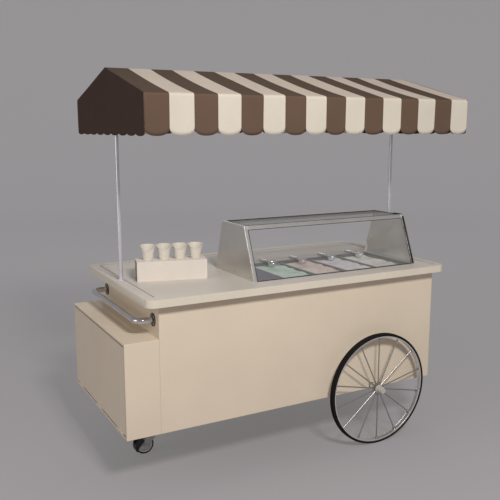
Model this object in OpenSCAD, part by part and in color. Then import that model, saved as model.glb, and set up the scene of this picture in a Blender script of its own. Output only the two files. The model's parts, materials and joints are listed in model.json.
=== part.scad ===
// Three-wheeled push vending cart with a cold well, a glass guard and a gabled fabric canopy.
// Frame: +X along the cart from the push handle to the big wheels, +Z up, customers stand at -Y.
// The origin is on the ground, under the middle of the footprint.

/* [Body] */
// Length of the cabinet between its end walls
body_l = 1760; // [1660:10:1800]
// Depth of the cabinet from front to back
body_d = 916; // [880:2:940]
// Thickness of the cabinet panels
panel_t = 15; // [12:1:18]
// Height of the cabinet's bottom edge above the ground
body_z = 313; // [308:1:316]

/* [Countertop] */
// Height of the counter's rim above the ground
counter_z = 1018; // [1010:1:1040]
// Thickness of the counter
counter_t = 40; // [34:1:46]
// Overhang past the handle end
counter_over_left = 76; // [70:1:80]
// Overhang past the wheel end
counter_over_right = 52; // [48:1:60]
// Overhang at the front and the back
counter_over_side = 56; // [40:1:60]
// Radius of the counter's corners
counter_r = 50; // [30:1:60]
// How far the middle of the counter lies below its rim
counter_step = 3; // [2:0.5:4]

/* [Cold well] */
// Width of one pan position
pan_pitch = 216.5; // [210:0.5:217]
// Depth of the pans
pan_depth = 95; // [70:1:100]
// Depth of the well below the counter
well_depth = 155; // [150:1:160]

/* [Guard] */
// Height of the glass guard above the counter
guard_h = 285; // [260:1:300]
// Width of the guard's end panels and rails
guard_t = 20; // [16:1:24]
// Thickness of the glass
glass_t = 6; // [5:1:8]

/* [Canopy] */
// Height of the ridge above the ground
ridge_z = 2130; // [2110:1:2160]
// Height of the eaves above the ground
eave_z = 1984; // [1970:1:2000]
// Height of the bottom edge of the valance above the ground
valance_z = 1790; // [1780:1:1810]
// Half of the canopy's width from front to back
canopy_half_d = 558; // [550:1:560]
// Thickness of the canopy cloth with its hems
cloth_t = 3; // [2:0.5:4]
// Diameter of the two poles
pole_d = 20; // [18:1:24]

/* [Wheels] */
// Outer radius of the big wheels
wheel_r = 330; // [326:1:330]
// Width of the tyre
tyre_w = 38; // [34:1:42]
// Number of spokes in each big wheel
spoke_count = 14; // [10:1:16]
// Outer radius of the caster wheel
caster_r = 53; // [50:1:54]

/* [Locker] */
// Length of the low locker at the handle end
locker_l = 180; // [170:1:180]
// Height of the locker's top above the ground
locker_top_z = 805; // [780:1:810]

/* [Hidden] */
$fn = 64;
eps = 1;

// Cabinet
body_x0 = -846;
body_x1 = body_x0 + body_l;
body_y = body_d / 2;
inner_y = body_y - panel_t;
counter_bottom = counter_z - counter_t;
field_z = counter_z - counter_step;

// Chassis
chassis_top = 380;
channel = 40;
channel_t = 3;
floor_t = 12;
floor_z = chassis_top + floor_t;
batten = 25;
shelf_z = 600;
shelf_t = 15;
shelf_x1 = 100;

// Rear doors
door_x0 = -800;
door_x1 = 120;
door_mid = (door_x0 + door_x1) / 2;
door_z0 = 420;
door_z1 = 820;
door_gap = 2;
door_hinge_y = body_y + 6;
door_hinge_zs = [500, 740];
knuckle_r = 5;
knuckle_h = 25;
pin_r = 3;
run_gap = 0.05;
leaf_t = 2;
leaf_w = 26;

// Locker
locker_x1 = body_x0;
locker_x0 = body_x0 - locker_l;
locker_wall = 12;
locker_door_t = 16;
locker_gap = 5;
locker_pin_r = 2;
locker_knuckle_r = 4;
locker_hinge_z = body_z + locker_wall + locker_knuckle_r + 0.5;
locker_hinge_ys = [-360, 0, 360];
locker_knuckle_l = 30;

// Well and pans
well_x0 = -248;
well_x1 = 811;
well_y0 = -360;
well_y1 = 77;
liner_t = 3;
liner_flange = 5;
ledge_w = 7;
ledge_t = 3;
bar_w = 6;
bar_h = 12;
pan_rest_z = 1004;
pan_wall = 2;
pan_x0 = well_x1 - 4 * pan_pitch;
fill_z = 1003;
insulation_t = 30;
plate_h = 25;

// Guard
guard_x0 = -274;
guard_x1 = 837;
guard_y_front = -383;
guard_y_back = 87;
guard_top_front = -267;
guard_top_back = -4;
guard_z0 = field_z;
guard_z1 = counter_z + guard_h;
guard_sheet = 2;
guard_bar = 18;
guard_lip = 8;
guard_inset = 1;
guard_slope = (guard_top_front - guard_y_front) / (guard_z1 - guard_z0);

// Cup stand
stand_l = 380;
stand_d = 120;
stand_h = 108;
stand_t = 3;
stand_turn = -14;
stand_x = -818;
stand_y = -79;
cup_pitch = 86.5;
cup_shift = 6;
cup_r0 = 26;
cup_r1 = 41;
cup_h = 82;
cup_wall = 1.5;
cup_dip = 26;

// Poles and canopy
pole_x_left = -882;
pole_x_right = 944;
collar_r = 18;
collar_h = 6;
canopy_x0 = -931;
canopy_x1 = 1030;
tube_half = 9;
rafter_half = 8;
ridge_half = 12.5;
roof_angle = atan((ridge_z - eave_z) / canopy_half_d);
roof_drop = cloth_t / cos(roof_angle);
frame_gap = 1.5;
ridge_tube_z = ridge_z - roof_drop - ridge_half * (1 + tan(roof_angle)) - frame_gap;
eave_tube_y = canopy_half_d - cloth_t - tube_half - frame_gap;
eave_tube_z = eave_z - 2 * tube_half - roof_drop - frame_gap;
rafter_angle = atan((ridge_tube_z - eave_tube_z) / eave_tube_y);

// Push handle
handle_z = 888;
handle_x = -934;
handle_half = 380;
handle_r = 15;
handle_bend = 40;
flange_r = 34;
flange_t = 5;

// Running gear
wheel_x = 476;
wheel_y = 518;
axle_r = 10;
axle_end = 556;
axle_collar_r = 16;
bracket_y = inner_y - 30;
bracket_half = 12;
hub_r = 20;
hub_half = 37;
hub_flange_r = 25;
cap_r = 16;
cap_out = 568;
rim_r1 = 316;
rim_r0 = 310;
rim_bead_r = 2;
rim_w = 30;
spoke_r = 3.5;
nipple_r = 5.5;
nipple_l = 16;
swivel_x = -738;
caster_x = -778;
caster_pin_r = 6;
caster_axle_r = 5;
crown_top = 127.7;
crown_t = 6;
crown_r = 30;
fork_gap = 17.5;
fork_t = 4;
caster_hub_r = 44;
caster_w = 28;
brake_x = -758;
brake_z = 117.2;
brake_pin_r = 2.5;

// ---------- shared shapes ----------

// Box from its lowest to its highest corner
module block(low, high) {
    translate(low)
        cube(high - low);
}

// Folded channel along X, open underneath
module channel_x(x0, x1, y, z1) {
    difference() {
        block([x0, y - channel / 2, z1 - channel], [x1, y + channel / 2, z1]);
        block([x0 - eps, y - channel / 2 + channel_t, z1 - channel - eps],
              [x1 + eps, y + channel / 2 - channel_t, z1 - channel_t]);
    }
}

// Folded channel along Y, open underneath
module channel_y(x, y0, y1, z1) {
    difference() {
        block([x - channel / 2, y0, z1 - channel], [x + channel / 2, y1, z1]);
        block([x - channel / 2 + channel_t, y0 - eps, z1 - channel - eps],
              [x + channel / 2 - channel_t, y1 + eps, z1 - channel_t]);
    }
}

// Rectangle with round corners, between two corner points
module round_rect(x0, y0, x1, y1, r) {
    translate([x0 + r, y0])
        square([x1 - x0 - 2 * r, y1 - y0]);
    translate([x0, y0 + r])
        square([x1 - x0, y1 - y0 - 2 * r]);
    for (x = [x0 + r, x1 - r], y = [y0 + r, y1 - r])
        translate([x, y])
            circle(r);
}

// Cylinder along Y between two planes
module rod_y(x, z, r, y0, y1) {
    translate([x, y1, z])
        rotate([90, 0, 0])
            cylinder(r = r, h = y1 - y0);
}

// Cylinder along X between two planes
module rod_x(y, z, r, x0, x1) {
    translate([x0, y, z])
        rotate([0, 90, 0])
            cylinder(r = r, h = x1 - x0);
}

// Slot for the axle, open at the panel's bottom edge
module axle_notch(y0, y1) {
    notch_r = axle_collar_r + 2;
    rod_y(wheel_x, wheel_r, notch_r, y0 - eps, y1 + eps);
    block([wheel_x - notch_r, y0 - eps, body_z - eps], [wheel_x + notch_r, y1 + eps, wheel_r]);
}

// ---------- chassis and cabinet ----------

module chassis_frame() {
    rail_y = inner_y - channel / 2;
    color("dimgray") {
        for (side = [-1, 1])
            channel_x(body_x0 + panel_t, body_x1 - panel_t, side * rail_y, chassis_top);
        for (x = [body_x0 + panel_t + channel / 2, swivel_x, -150, wheel_x, body_x1 - panel_t - channel / 2])
            channel_y(x, -rail_y + channel / 2, rail_y - channel / 2, chassis_top);
        for (side = [-1, 1])
            difference() {
                block([wheel_x - 30, side * bracket_y - bracket_half, wheel_r - 20],
                      [wheel_x + 30, side * bracket_y + bracket_half, chassis_top - channel]);
                rod_y(wheel_x, wheel_r, axle_r + run_gap, side * bracket_y - 20, side * bracket_y + 20);
            }
    }
}

module floor_panel() {
    color("burlywood")
        block([body_x0 + panel_t, -inner_y, chassis_top], [body_x1 - panel_t, inner_y, floor_z]);
}

module body_frame() {
    x0 = body_x0 + panel_t;
    x1 = body_x1 - panel_t;
    top = counter_bottom;
    color("silver") {
        for (x = [x0, x1 - batten], side = [-1, 1])
            block([x, side > 0 ? inner_y - batten : -inner_y, floor_z],
                  [x + batten, side > 0 ? inner_y : -inner_y + batten, top]);
        for (side = [-1, 1])
            block([x0, side > 0 ? inner_y - batten : -inner_y, top - batten],
                  [x1, side > 0 ? inner_y : -inner_y + batten, top]);
        for (x = [x0, x1 - batten])
            block([x, -inner_y, top - batten], [x + batten, inner_y, top]);
        block([door_x1, inner_y - batten, floor_z], [door_x1 + batten, inner_y, top]);
        block([door_x1, -inner_y, floor_z], [door_x1 + batten, -inner_y + batten, top]);
        block([x0 + batten, -inner_y, shelf_z - 20], [door_x1, -inner_y + batten, shelf_z]);
        block([x0, -inner_y + batten, shelf_z - 20], [x0 + batten, inner_y - batten, shelf_z]);
    }
}

module front_panel() {
    color("antiquewhite")
        difference() {
            block([body_x0, -body_y, body_z], [body_x1, -inner_y, counter_bottom]);
            axle_notch(-body_y, -inner_y);
        }
}

module rear_fascia() {
    color("antiquewhite")
        difference() {
            block([body_x0, inner_y, body_z], [body_x1, body_y, counter_bottom]);
            axle_notch(inner_y, body_y);
            block([door_x0, inner_y - eps, door_z0], [door_x1, body_y + eps, door_z1]);
        }
}

module end_panel(x0) {
    color("antiquewhite")
        block([x0, -inner_y, body_z], [x0 + panel_t, inner_y, counter_bottom]);
}

module inner_shelf() {
    x0 = body_x0 + panel_t;
    post_gap = 0.5;
    color("burlywood")
        difference() {
            block([x0, -inner_y + 1, shelf_z], [shelf_x1, inner_y - batten - 5, shelf_z + shelf_t]);
            block([x0 - eps, -inner_y, shelf_z - eps],
                  [x0 + batten + post_gap, -inner_y + batten + post_gap, shelf_z + shelf_t + eps]);
        }
}

// ---------- hinged doors ----------

// Fixed leaf, lower knuckle and pin of one lift-off hinge; out points away from the door
module hinge_fixed(x, z, out) {
    translate([x, door_hinge_y, z - knuckle_h])
        cylinder(r = knuckle_r, h = knuckle_h - 0.3);
    translate([x, door_hinge_y, z - knuckle_h])
        cylinder(r = pin_r, h = 2 * knuckle_h - 2);
    block([min(x, x + out * leaf_w), body_y, z - knuckle_h],
          [max(x, x + out * leaf_w), body_y + leaf_t, z - 0.3]);
}

// Upper knuckle and leaf on the door; towards points to the door
module hinge_moving(x, z, towards) {
    difference() {
        union() {
            translate([x, door_hinge_y, z])
                cylinder(r = knuckle_r, h = knuckle_h);
            block([min(x, x + towards * leaf_w), body_y, z],
                  [max(x, x + towards * leaf_w), body_y + leaf_t, z + knuckle_h]);
        }
        translate([x, door_hinge_y, z - eps])
            cylinder(r = pin_r + run_gap, h = knuckle_h + 2 * eps);
    }
}

module hinge_pins() {
    color("silver") {
        for (z = door_hinge_zs) {
            hinge_fixed(door_x0 + door_gap / 2, z, -1);
            hinge_fixed(door_x1 - door_gap / 2, z, 1);
        }
        for (y = locker_hinge_ys) {
            rod_y(locker_x0, locker_hinge_z, locker_pin_r, y - locker_knuckle_l, y + locker_knuckle_l);
            for (end = [-1, 1])
                translate([0, end * locker_knuckle_l, 0]) {
                    rod_y(locker_x0, locker_hinge_z, locker_knuckle_r,
                          y - locker_knuckle_l / 2 + 0.3, y + locker_knuckle_l / 2 - 0.3);
                    block([locker_x0 - leaf_t, y - locker_knuckle_l / 2 + 0.3, body_z + 1],
                          [locker_x0, y + locker_knuckle_l / 2 - 0.3, locker_hinge_z]);
                }
        }
    }
}

// Bow handle on a door's outside, standing upright
module door_pull(x, z) {
    for (end = [-1, 1])
        rotate([90, 0, 0])
            translate([x, z + end * 50, -body_y - 28])
                cylinder(r = 5, h = 28);
    translate([x, body_y + 28, z - 60])
        cylinder(r = 6, h = 120);
}

module rear_door(x0, x1, hinge_x, towards) {
    pull_x = towards > 0 ? x1 - 40 : x0 + 40;
    color("antiquewhite")
        block([x0, inner_y, door_z0 + door_gap], [x1, body_y, door_z1 - door_gap]);
    color("silver") {
        for (z = door_hinge_zs)
            hinge_moving(hinge_x, z, towards);
        door_pull(pull_x, (door_z0 + door_z1) / 2);
    }
}

module locker_shell() {
    y = body_y;
    w = locker_wall;
    color("antiquewhite") {
        block([locker_x0, -y, body_z], [locker_x1, -y + w, locker_top_z]);
        block([locker_x0, y - w, body_z], [locker_x1, y, locker_top_z]);
        block([locker_x0, -y, body_z], [locker_x1, y, body_z + w]);
        block([locker_x0, -y, locker_top_z - w], [locker_x1, y, locker_top_z]);
    }
}

module locker_door() {
    y = body_y - locker_wall - 1.5;
    z0 = locker_hinge_z + locker_knuckle_r + 0.5;
    z1 = locker_top_z - locker_wall - locker_gap;
    color("antiquewhite")
        block([locker_x0, -y, z0], [locker_x0 + locker_door_t, y, z1]);
    color("silver")
        for (yh = locker_hinge_ys)
            difference() {
                union() {
                    rod_y(locker_x0, locker_hinge_z, locker_knuckle_r,
                          yh - locker_knuckle_l / 2, yh + locker_knuckle_l / 2);
                    block([locker_x0 - leaf_t, yh - locker_knuckle_l / 2, locker_hinge_z],
                          [locker_x0, yh + locker_knuckle_l / 2, locker_hinge_z + leaf_w]);
                }
                rod_y(locker_x0, locker_hinge_z, locker_pin_r + run_gap,
                      yh - locker_knuckle_l, yh + locker_knuckle_l);
            }
}

// ---------- counter and well ----------

module countertop() {
    x0 = body_x0 - counter_over_left;
    x1 = body_x1 + counter_over_right;
    y = body_y + counter_over_side;
    rim_left = 57;
    rim = 38;
    color("antiquewhite")
        difference() {
            translate([0, 0, counter_bottom])
                linear_extrude(counter_t)
                    round_rect(x0, -y, x1, y, counter_r);
            translate([0, 0, field_z])
                linear_extrude(counter_step + eps)
                    round_rect(x0 + rim_left, -y + rim, x1 - rim, y - rim, counter_r - rim / 2);
            block([well_x0, well_y0, counter_bottom - eps], [well_x1, well_y1, counter_z + eps]);
        }
}

module well_liner() {
    t = liner_t;
    bottom = counter_z - well_depth;
    color("silver") {
        difference() {
            union() {
                block([well_x0, well_y0, bottom - t], [well_x1, well_y1, field_z]);
                block([well_x0 - liner_flange, well_y0 - liner_flange, field_z],
                      [well_x1 + liner_flange, well_y1 + liner_flange, field_z + 1]);
            }
            block([well_x0 + t, well_y0 + t, bottom], [well_x1 - t, well_y1 - t, counter_z]);
        }
        block([well_x0 + t, well_y0 + t, pan_rest_z - ledge_t],
              [well_x1 - t, well_y0 + t + ledge_w, pan_rest_z]);
        block([well_x0 + t, well_y1 - t - ledge_w, pan_rest_z - ledge_t],
              [well_x1 - t, well_y1 - t, pan_rest_z]);
    }
}

module well_insulation() {
    s = insulation_t;
    bottom = counter_z - well_depth - liner_t;
    color("khaki")
        difference() {
            block([well_x0 - s, well_y0 - s, bottom - s], [well_x1 + s, well_y1 + s, counter_bottom]);
            block([well_x0, well_y0, bottom], [well_x1, well_y1, counter_z]);
        }
}

module cold_plates() {
    z = counter_z - well_depth;
    color("lightblue")
        for (i = [0:3])
            translate([pan_x0 + i * pan_pitch + 12, well_y0 + 20, z])
                linear_extrude(plate_h)
                    round_rect(0, 0, pan_pitch - 24, well_y1 - well_y0 - 40, 12);
}

module divider_bars() {
    color("silver")
        for (i = [0:3])
            block([pan_x0 + i * pan_pitch - bar_w / 2, well_y0 + liner_t + ledge_w, pan_rest_z - bar_h],
                  [pan_x0 + i * pan_pitch + bar_w / 2, well_y1 - liner_t - ledge_w, pan_rest_z]);
}

module filler_plate() {
    color("dimgray")
        block([well_x0 + liner_t + 0.5, well_y0 + liner_t + 1, pan_rest_z],
              [pan_x0 - 0.5, well_y1 - liner_t - 1, pan_rest_z + 2]);
}

module pan(i) {
    x0 = pan_x0 + i * pan_pitch + 0.5;
    x1 = x0 + pan_pitch - (i == 3 ? liner_t + 1 : 1);
    y0 = well_y0 + liner_t + 1;
    y1 = well_y1 - liner_t - 1;
    side = 5;
    end = 9;
    w = pan_wall;
    color("silver")
        difference() {
            union() {
                block([x0, y0, pan_rest_z], [x1, y1, pan_rest_z + w]);
                translate([0, 0, pan_rest_z - pan_depth])
                    linear_extrude(pan_depth)
                        round_rect(x0 + side, y0 + end, x1 - side, y1 - end, 20);
            }
            translate([0, 0, pan_rest_z - pan_depth + w])
                linear_extrude(pan_depth + w)
                    round_rect(x0 + side + w, y0 + end + w, x1 - side - w, y1 - end - w, 18);
        }
}

module fill(i, tint) {
    x0 = pan_x0 + i * pan_pitch + 0.5;
    x1 = x0 + pan_pitch - (i == 3 ? liner_t + 1 : 1);
    y0 = well_y0 + liner_t + 1;
    y1 = well_y1 - liner_t - 1;
    inset_x = 5 + pan_wall;
    inset_y = 9 + pan_wall;
    floor = pan_rest_z - pan_depth + pan_wall;
    color(tint)
        translate([0, 0, floor])
            linear_extrude(fill_z - floor)
                round_rect(x0 + inset_x, y0 + inset_y, x1 - inset_x, y1 - inset_y, 18);
}

// Round-bowled dipper that lies on the food with its handle towards the vendor
module scoop(i) {
    x = pan_x0 + (i + 0.5) * pan_pitch;
    bowl_r = 28;
    bowl_y = -15;
    bowl_z = fill_z + 0.4 + bowl_r;
    wall = 2;
    tilt = -2;
    color("gainsboro")
        translate([x, bowl_y, bowl_z]) {
            rotate_extrude()
                difference() {
                    circle(bowl_r);
                    circle(bowl_r - wall);
                    translate([-2 * bowl_r, -2 * bowl_r])
                        square([2 * bowl_r, 4 * bowl_r]);
                    translate([-eps, 0])
                        square([2 * bowl_r, 2 * bowl_r]);
                }
            translate([0, bowl_r - wall / 2, -3])
                rotate([tilt - 90, 0, 0]) {
                    cylinder(r = 3.5, h = 36);
                    translate([0, 0, 30])
                        cylinder(r = 8, h = 92);
                    translate([0, 0, 122])
                        sphere(8);
                }
        }
}

// ---------- guard ----------

// Outline of the guard seen from its end, moved inwards by a margin
module guard_outline(m) {
    back_slope = (guard_top_back - guard_y_back) / (guard_z1 - guard_z0);
    front_m = m * sqrt(1 + pow(guard_slope, 2));
    back_m = m * sqrt(1 + pow(back_slope, 2));
    z0 = guard_z0 + m;
    z1 = guard_z1 - m;
    polygon([
        [guard_y_front + front_m + guard_slope * m, z0],
        [guard_y_back - back_m + back_slope * m, z0],
        [guard_top_back - back_m - back_slope * m, z1],
        [guard_top_front + front_m - guard_slope * m, z1]
    ]);
}

// Extrudes a Y-Z outline along X
module along_x(x0, x1) {
    translate([x0, 0, 0])
        rotate([90, 0, 90])
            linear_extrude(x1 - x0)
                children();
}

// Pressed end panel: a sheet on the outside and a folded flange all round
module guard_end(x0, sheet_x) {
    color("silver")
        difference() {
            along_x(x0, x0 + guard_t)
                guard_outline(0);
            along_x(sheet_x > x0 ? x0 - eps : x0 + guard_sheet, sheet_x > x0 ? sheet_x : x0 + guard_t + eps)
                guard_outline(guard_sheet);
        }
}

module guard_top_frame() {
    x0 = guard_x0 + guard_t;
    x1 = guard_x1 - guard_t;
    z0 = guard_z1 - guard_t;
    glass_z = guard_z1 - glass_t - guard_inset;
    color("silver")
        difference() {
            union() {
                intersection() {
                    along_x(x0, x1)
                        guard_outline(0);
                    block([x0, guard_y_front, z0], [x1, guard_top_front + guard_bar, guard_z1]);
                }
                intersection() {
                    along_x(x0, x1)
                        guard_outline(0);
                    block([x0, guard_top_back - guard_bar, z0], [x1, guard_y_back, guard_z1]);
                }
            }
            block([x0 - eps, guard_top_front + guard_bar - guard_lip, glass_z],
                  [x1 + eps, guard_top_back - guard_bar + guard_lip, guard_z1 + eps]);
            block([x0 - eps, guard_y_front - eps, z0 - eps],
                  [x1 + eps, guard_y_front + guard_slope * (z0 - guard_z0) + glass_t + 1, z0]);
        }
}

module guard_top_glass() {
    gap = 0.5;
    z1 = guard_z1 - guard_inset;
    color([0.7, 0.8, 0.85, 0.4])
        block([guard_x0 + guard_t + gap, guard_top_front + guard_bar - guard_lip + gap, z1 - glass_t],
              [guard_x1 - guard_t - gap, guard_top_back - guard_bar + guard_lip - gap, z1]);
}

module guard_front_glass() {
    z0 = field_z + 2;
    z1 = guard_z1 - guard_t;
    t = glass_t * sqrt(1 + pow(guard_slope, 2));
    y0 = guard_y_front + guard_slope * (z0 - guard_z0) + 1;
    y1 = guard_y_front + guard_slope * (z1 - guard_z0) + 1;
    color([0.7, 0.8, 0.85, 0.4])
        along_x(guard_x0 + guard_t + 0.5, guard_x1 - guard_t - 0.5)
            polygon([[y0, z0], [y0 + t, z0], [y1 + t, z1], [y1, z1]]);
}

// ---------- cup stand ----------

// Places children in the stand's own frame: X along its front, Y to its back
module at_stand() {
    translate([stand_x, stand_y, field_z])
        rotate([0, 0, stand_turn])
            children();
}

// Folded board, open at both ends and below
module cup_stand() {
    color("white")
        at_stand()
            difference() {
                cube([stand_l, stand_d, stand_h]);
                translate([-eps, stand_t, -eps])
                    cube([stand_l + 2 * eps, stand_d - 2 * stand_t, stand_h - stand_t + eps]);
            }
}

// Paper cup, cut lower at the front
module cup(i) {
    x = stand_l / 2 + cup_shift + (i - 1.5) * cup_pitch;
    y = stand_d / 2;
    flare = (cup_r1 - cup_r0) / cup_h;
    color("white")
        at_stand()
            translate([x, y, stand_h + 0.1])
                difference() {
                    rotate_extrude()
                        polygon([
                            [0, 0],
                            [cup_r0, 0],
                            [cup_r1, cup_h],
                            [cup_r1 - cup_wall, cup_h],
                            [cup_r0 - cup_wall + 3 * flare, 3],
                            [0, 3]
                        ]);
                    translate([0, 0, cup_h])
                        rotate([atan(cup_dip / cup_r1), 0, 0])
                            translate([-60, -100, 0])
                                cube([120, 100, 60]);
                }
}

// ---------- canopy ----------

module pole(x) {
    color("silver") {
        translate([x, 0, counter_z])
            cylinder(d = pole_d, h = ridge_tube_z - ridge_half - counter_z - 0.2);
        translate([x, 0, counter_z])
            cylinder(r = collar_r, h = collar_h);
    }
}

// Square tube along X, centred on a line
module tube_x(x0, x1, y, z, half) {
    block([x0, y - half, z - half], [x1, y + half, z + half]);
}

// Two rafters that meet at the ridge, seen from the end
module rafter_outline() {
    t = rafter_half / cos(rafter_angle);
    polygon([
        [-eave_tube_y, eave_tube_z - t],
        [0, ridge_tube_z - t],
        [eave_tube_y, eave_tube_z - t],
        [eave_tube_y, eave_tube_z + t],
        [0, ridge_tube_z + t],
        [-eave_tube_y, eave_tube_z + t]
    ]);
}

module canopy_frame() {
    x0 = canopy_x0 + cloth_t + frame_gap;
    x1 = canopy_x1 - cloth_t - frame_gap;
    end_gap = tube_half - rafter_half;
    step = (x1 - x0 - 2 * tube_half) / 3;
    color("silver") {
        tube_x(x0, x1, 0, ridge_tube_z, ridge_half);
        for (side = [-1, 1])
            tube_x(x0, x1, side * eave_tube_y, eave_tube_z, tube_half);
        for (i = [0:3])
            along_x(x0 + end_gap + i * step, x0 + end_gap + i * step + 2 * rafter_half) {
                rafter_outline();
                if (i == 0 || i == 3)
                    translate([-eave_tube_y, eave_tube_z - rafter_half])
                        square([2 * eave_tube_y, 2 * rafter_half]);
            }
    }
}

// Gable outline of the canopy, moved inwards by a margin
module gable_outline(m) {
    half = canopy_half_d - m;
    rise = m / cos(roof_angle);
    polygon([
        [-half, valance_z],
        [half, valance_z],
        [half, ridge_z - rise - half * tan(roof_angle)],
        [0, ridge_z - rise],
        [-half, ridge_z - rise - half * tan(roof_angle)]
    ]);
}

module canopy_cloth() {
    color("saddlebrown")
        difference() {
            along_x(canopy_x0, canopy_x1)
                gable_outline(0);
            along_x(canopy_x0 + cloth_t, canopy_x1 - cloth_t)
                gable_outline(cloth_t);
            block([canopy_x0 + cloth_t, -canopy_half_d + cloth_t, valance_z - eps],
                  [canopy_x1 - cloth_t, canopy_half_d - cloth_t, valance_z + eps]);
        }
}

// ---------- push handle ----------

module push_handle() {
    bend = handle_bend;
    color("silver") {
        rod_y(handle_x, handle_z, handle_r, -handle_half + bend, handle_half - bend);
        for (side = [-1, 1]) {
            rod_x(side * handle_half, handle_z, handle_r, handle_x + bend, body_x0);
            rod_x(side * handle_half, handle_z, flange_r, body_x0 - flange_t, body_x0);
            translate([handle_x + bend, side * (handle_half - bend), handle_z])
                rotate([0, 0, side > 0 ? 90 : 180])
                    rotate_extrude(angle = 90)
                        translate([bend, 0])
                            circle(handle_r);
        }
    }
}

// ---------- running gear ----------

module axle() {
    color("gray") {
        rod_y(wheel_x, wheel_r, axle_r, -axle_end, axle_end);
        for (side = [-1, 1])
            rod_y(wheel_x, wheel_r, axle_collar_r,
                  side > 0 ? inner_y + 0.3 : -wheel_y + hub_half + 0.3,
                  side > 0 ? wheel_y - hub_half - 0.3 : -inner_y - 0.3);
    }
}

// Turns a profile drawn in (radius, width) about the big wheels' axis
module about_axle(side) {
    translate([wheel_x, side * wheel_y, wheel_r])
        rotate([90, 0, 0])
            rotate_extrude($fn = 128)
                children();
}

module wheel_tyre(side) {
    color("black")
        about_axle(side) {
            translate([rim_r1, -tyre_w / 2])
                square([wheel_r - rim_r1 - 6, tyre_w]);
            translate([rim_r1, -tyre_w / 2 + 6])
                square([wheel_r - rim_r1, tyre_w - 12]);
            for (end = [-1, 1])
                translate([wheel_r - 6, end * (tyre_w / 2 - 6)])
                    circle(6);
        }
}

module wheel_rim(side) {
    color("silver")
        about_axle(side) {
            translate([rim_r0, -rim_w / 2])
                square([rim_r1 - rim_r0, rim_w]);
            for (end = [-1, 1])
                translate([rim_r0, end * (rim_w / 2 - rim_bead_r)])
                    circle(rim_bead_r);
        }
}

module wheel_spokes(side) {
    color("silver")
        for (i = [0:spoke_count - 1])
            translate([wheel_x, side * wheel_y, wheel_r])
                rotate([0, i * 360 / spoke_count, 0]) {
                    translate([0, 0, hub_r - 2])
                        cylinder(r = spoke_r, h = rim_r0 - hub_r + 4, $fn = 24);
                    translate([0, 0, rim_r0 - nipple_l])
                        cylinder(r = nipple_r, h = nipple_l, $fn = 24);
                    translate([0, 0, hub_flange_r])
                        cylinder(r = nipple_r, h = nipple_l, $fn = 24);
                }
}

module wheel_hub(side) {
    inner = wheel_y - hub_half;
    outer = wheel_y + hub_half;
    color("silver")
        difference() {
            translate([wheel_x, 0, wheel_r])
                rotate([side > 0 ? -90 : 90, 0, 0])
                    union() {
                        translate([0, 0, inner])
                            cylinder(r = hub_r, h = outer - inner);
                        for (offset = [-11, 7])
                            translate([0, 0, wheel_y + offset])
                                cylinder(r = hub_flange_r, h = 4);
                        translate([0, 0, outer])
                            cylinder(r = cap_r, h = cap_out - outer);
                    }
            rod_y(wheel_x, wheel_r, axle_r + run_gap,
                  side > 0 ? inner - eps : -axle_end - eps,
                  side > 0 ? axle_end + eps : -inner + eps);
        }
}

module caster_leg() {
    half = 25;
    wall = 4;
    boss_h = 30;
    z0 = crown_top + 0.3;
    z1 = chassis_top - channel;
    color("dimgray")
        difference() {
            union() {
                block([swivel_x - half, -half, z0], [swivel_x + half, half, z1]);
                block([swivel_x - 60, -55, z1 - 6], [swivel_x + 60, 55, z1]);
            }
            block([swivel_x - half + wall, -half + wall, z0 + boss_h],
                  [swivel_x + half - wall, half - wall, z1 + eps]);
            translate([swivel_x, 0, z0 - eps])
                cylinder(r = caster_pin_r + run_gap, h = boss_h + 2 * eps);
        }
}

module caster_fork() {
    color("gray") {
        translate([swivel_x, 0, crown_top - crown_t])
            cylinder(r = crown_r, h = crown_t);
        translate([swivel_x, 0, crown_top - crown_t])
            cylinder(r = caster_pin_r, h = crown_t + 28);
        for (y = [-fork_gap - fork_t, fork_gap])
            difference() {
                translate([0, y + fork_t, 0])
                    rotate([90, 0, 0])
                        linear_extrude(fork_t) {
                            polygon([
                                [swivel_x + 24, crown_top - crown_t + 1],
                                [swivel_x - 24, crown_top - crown_t + 1],
                                [caster_x - 13, caster_r + 6],
                                [caster_x - 9, caster_r - 9],
                                [caster_x + 9, caster_r - 9],
                                [swivel_x + 20, crown_top - 38]
                            ]);
                            translate([caster_x, caster_r])
                                circle(13);
                        }
                rod_y(caster_x, caster_r, caster_axle_r, y - eps, y + fork_t + eps);
            }
        rod_y(brake_x, brake_z, brake_pin_r, -fork_gap - 1, fork_gap + 1);
        rod_y(caster_x, caster_r, caster_axle_r, -fork_gap - fork_t - 5, fork_gap + fork_t + 5);
        for (y = [-fork_gap - fork_t - 5, fork_gap + fork_t])
            rod_y(caster_x, caster_r, caster_axle_r + 4, y, y + 5);
    }
}

// Turns a profile drawn in (radius, width) about the caster wheel's axle
module about_caster_axle() {
    translate([caster_x, 0, caster_r])
        rotate([90, 0, 0])
            rotate_extrude()
                children();
}

module caster_tyre() {
    color("black")
        about_caster_axle() {
            translate([caster_hub_r, -caster_w / 2])
                square([caster_r - caster_hub_r - 4, caster_w]);
            translate([caster_hub_r, -caster_w / 2 + 4])
                square([caster_r - caster_hub_r, caster_w - 8]);
            for (end = [-1, 1])
                translate([caster_r - 4, end * (caster_w / 2 - 4)])
                    circle(4);
        }
}

module caster_hub() {
    color("lightgray")
        about_caster_axle() {
            translate([caster_axle_r + run_gap, -16])
                square([9, 32]);
            translate([caster_axle_r + 8, -5])
                square([24, 10]);
            translate([34, -13])
                square([caster_hub_r - 34, 26]);
        }
}

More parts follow.
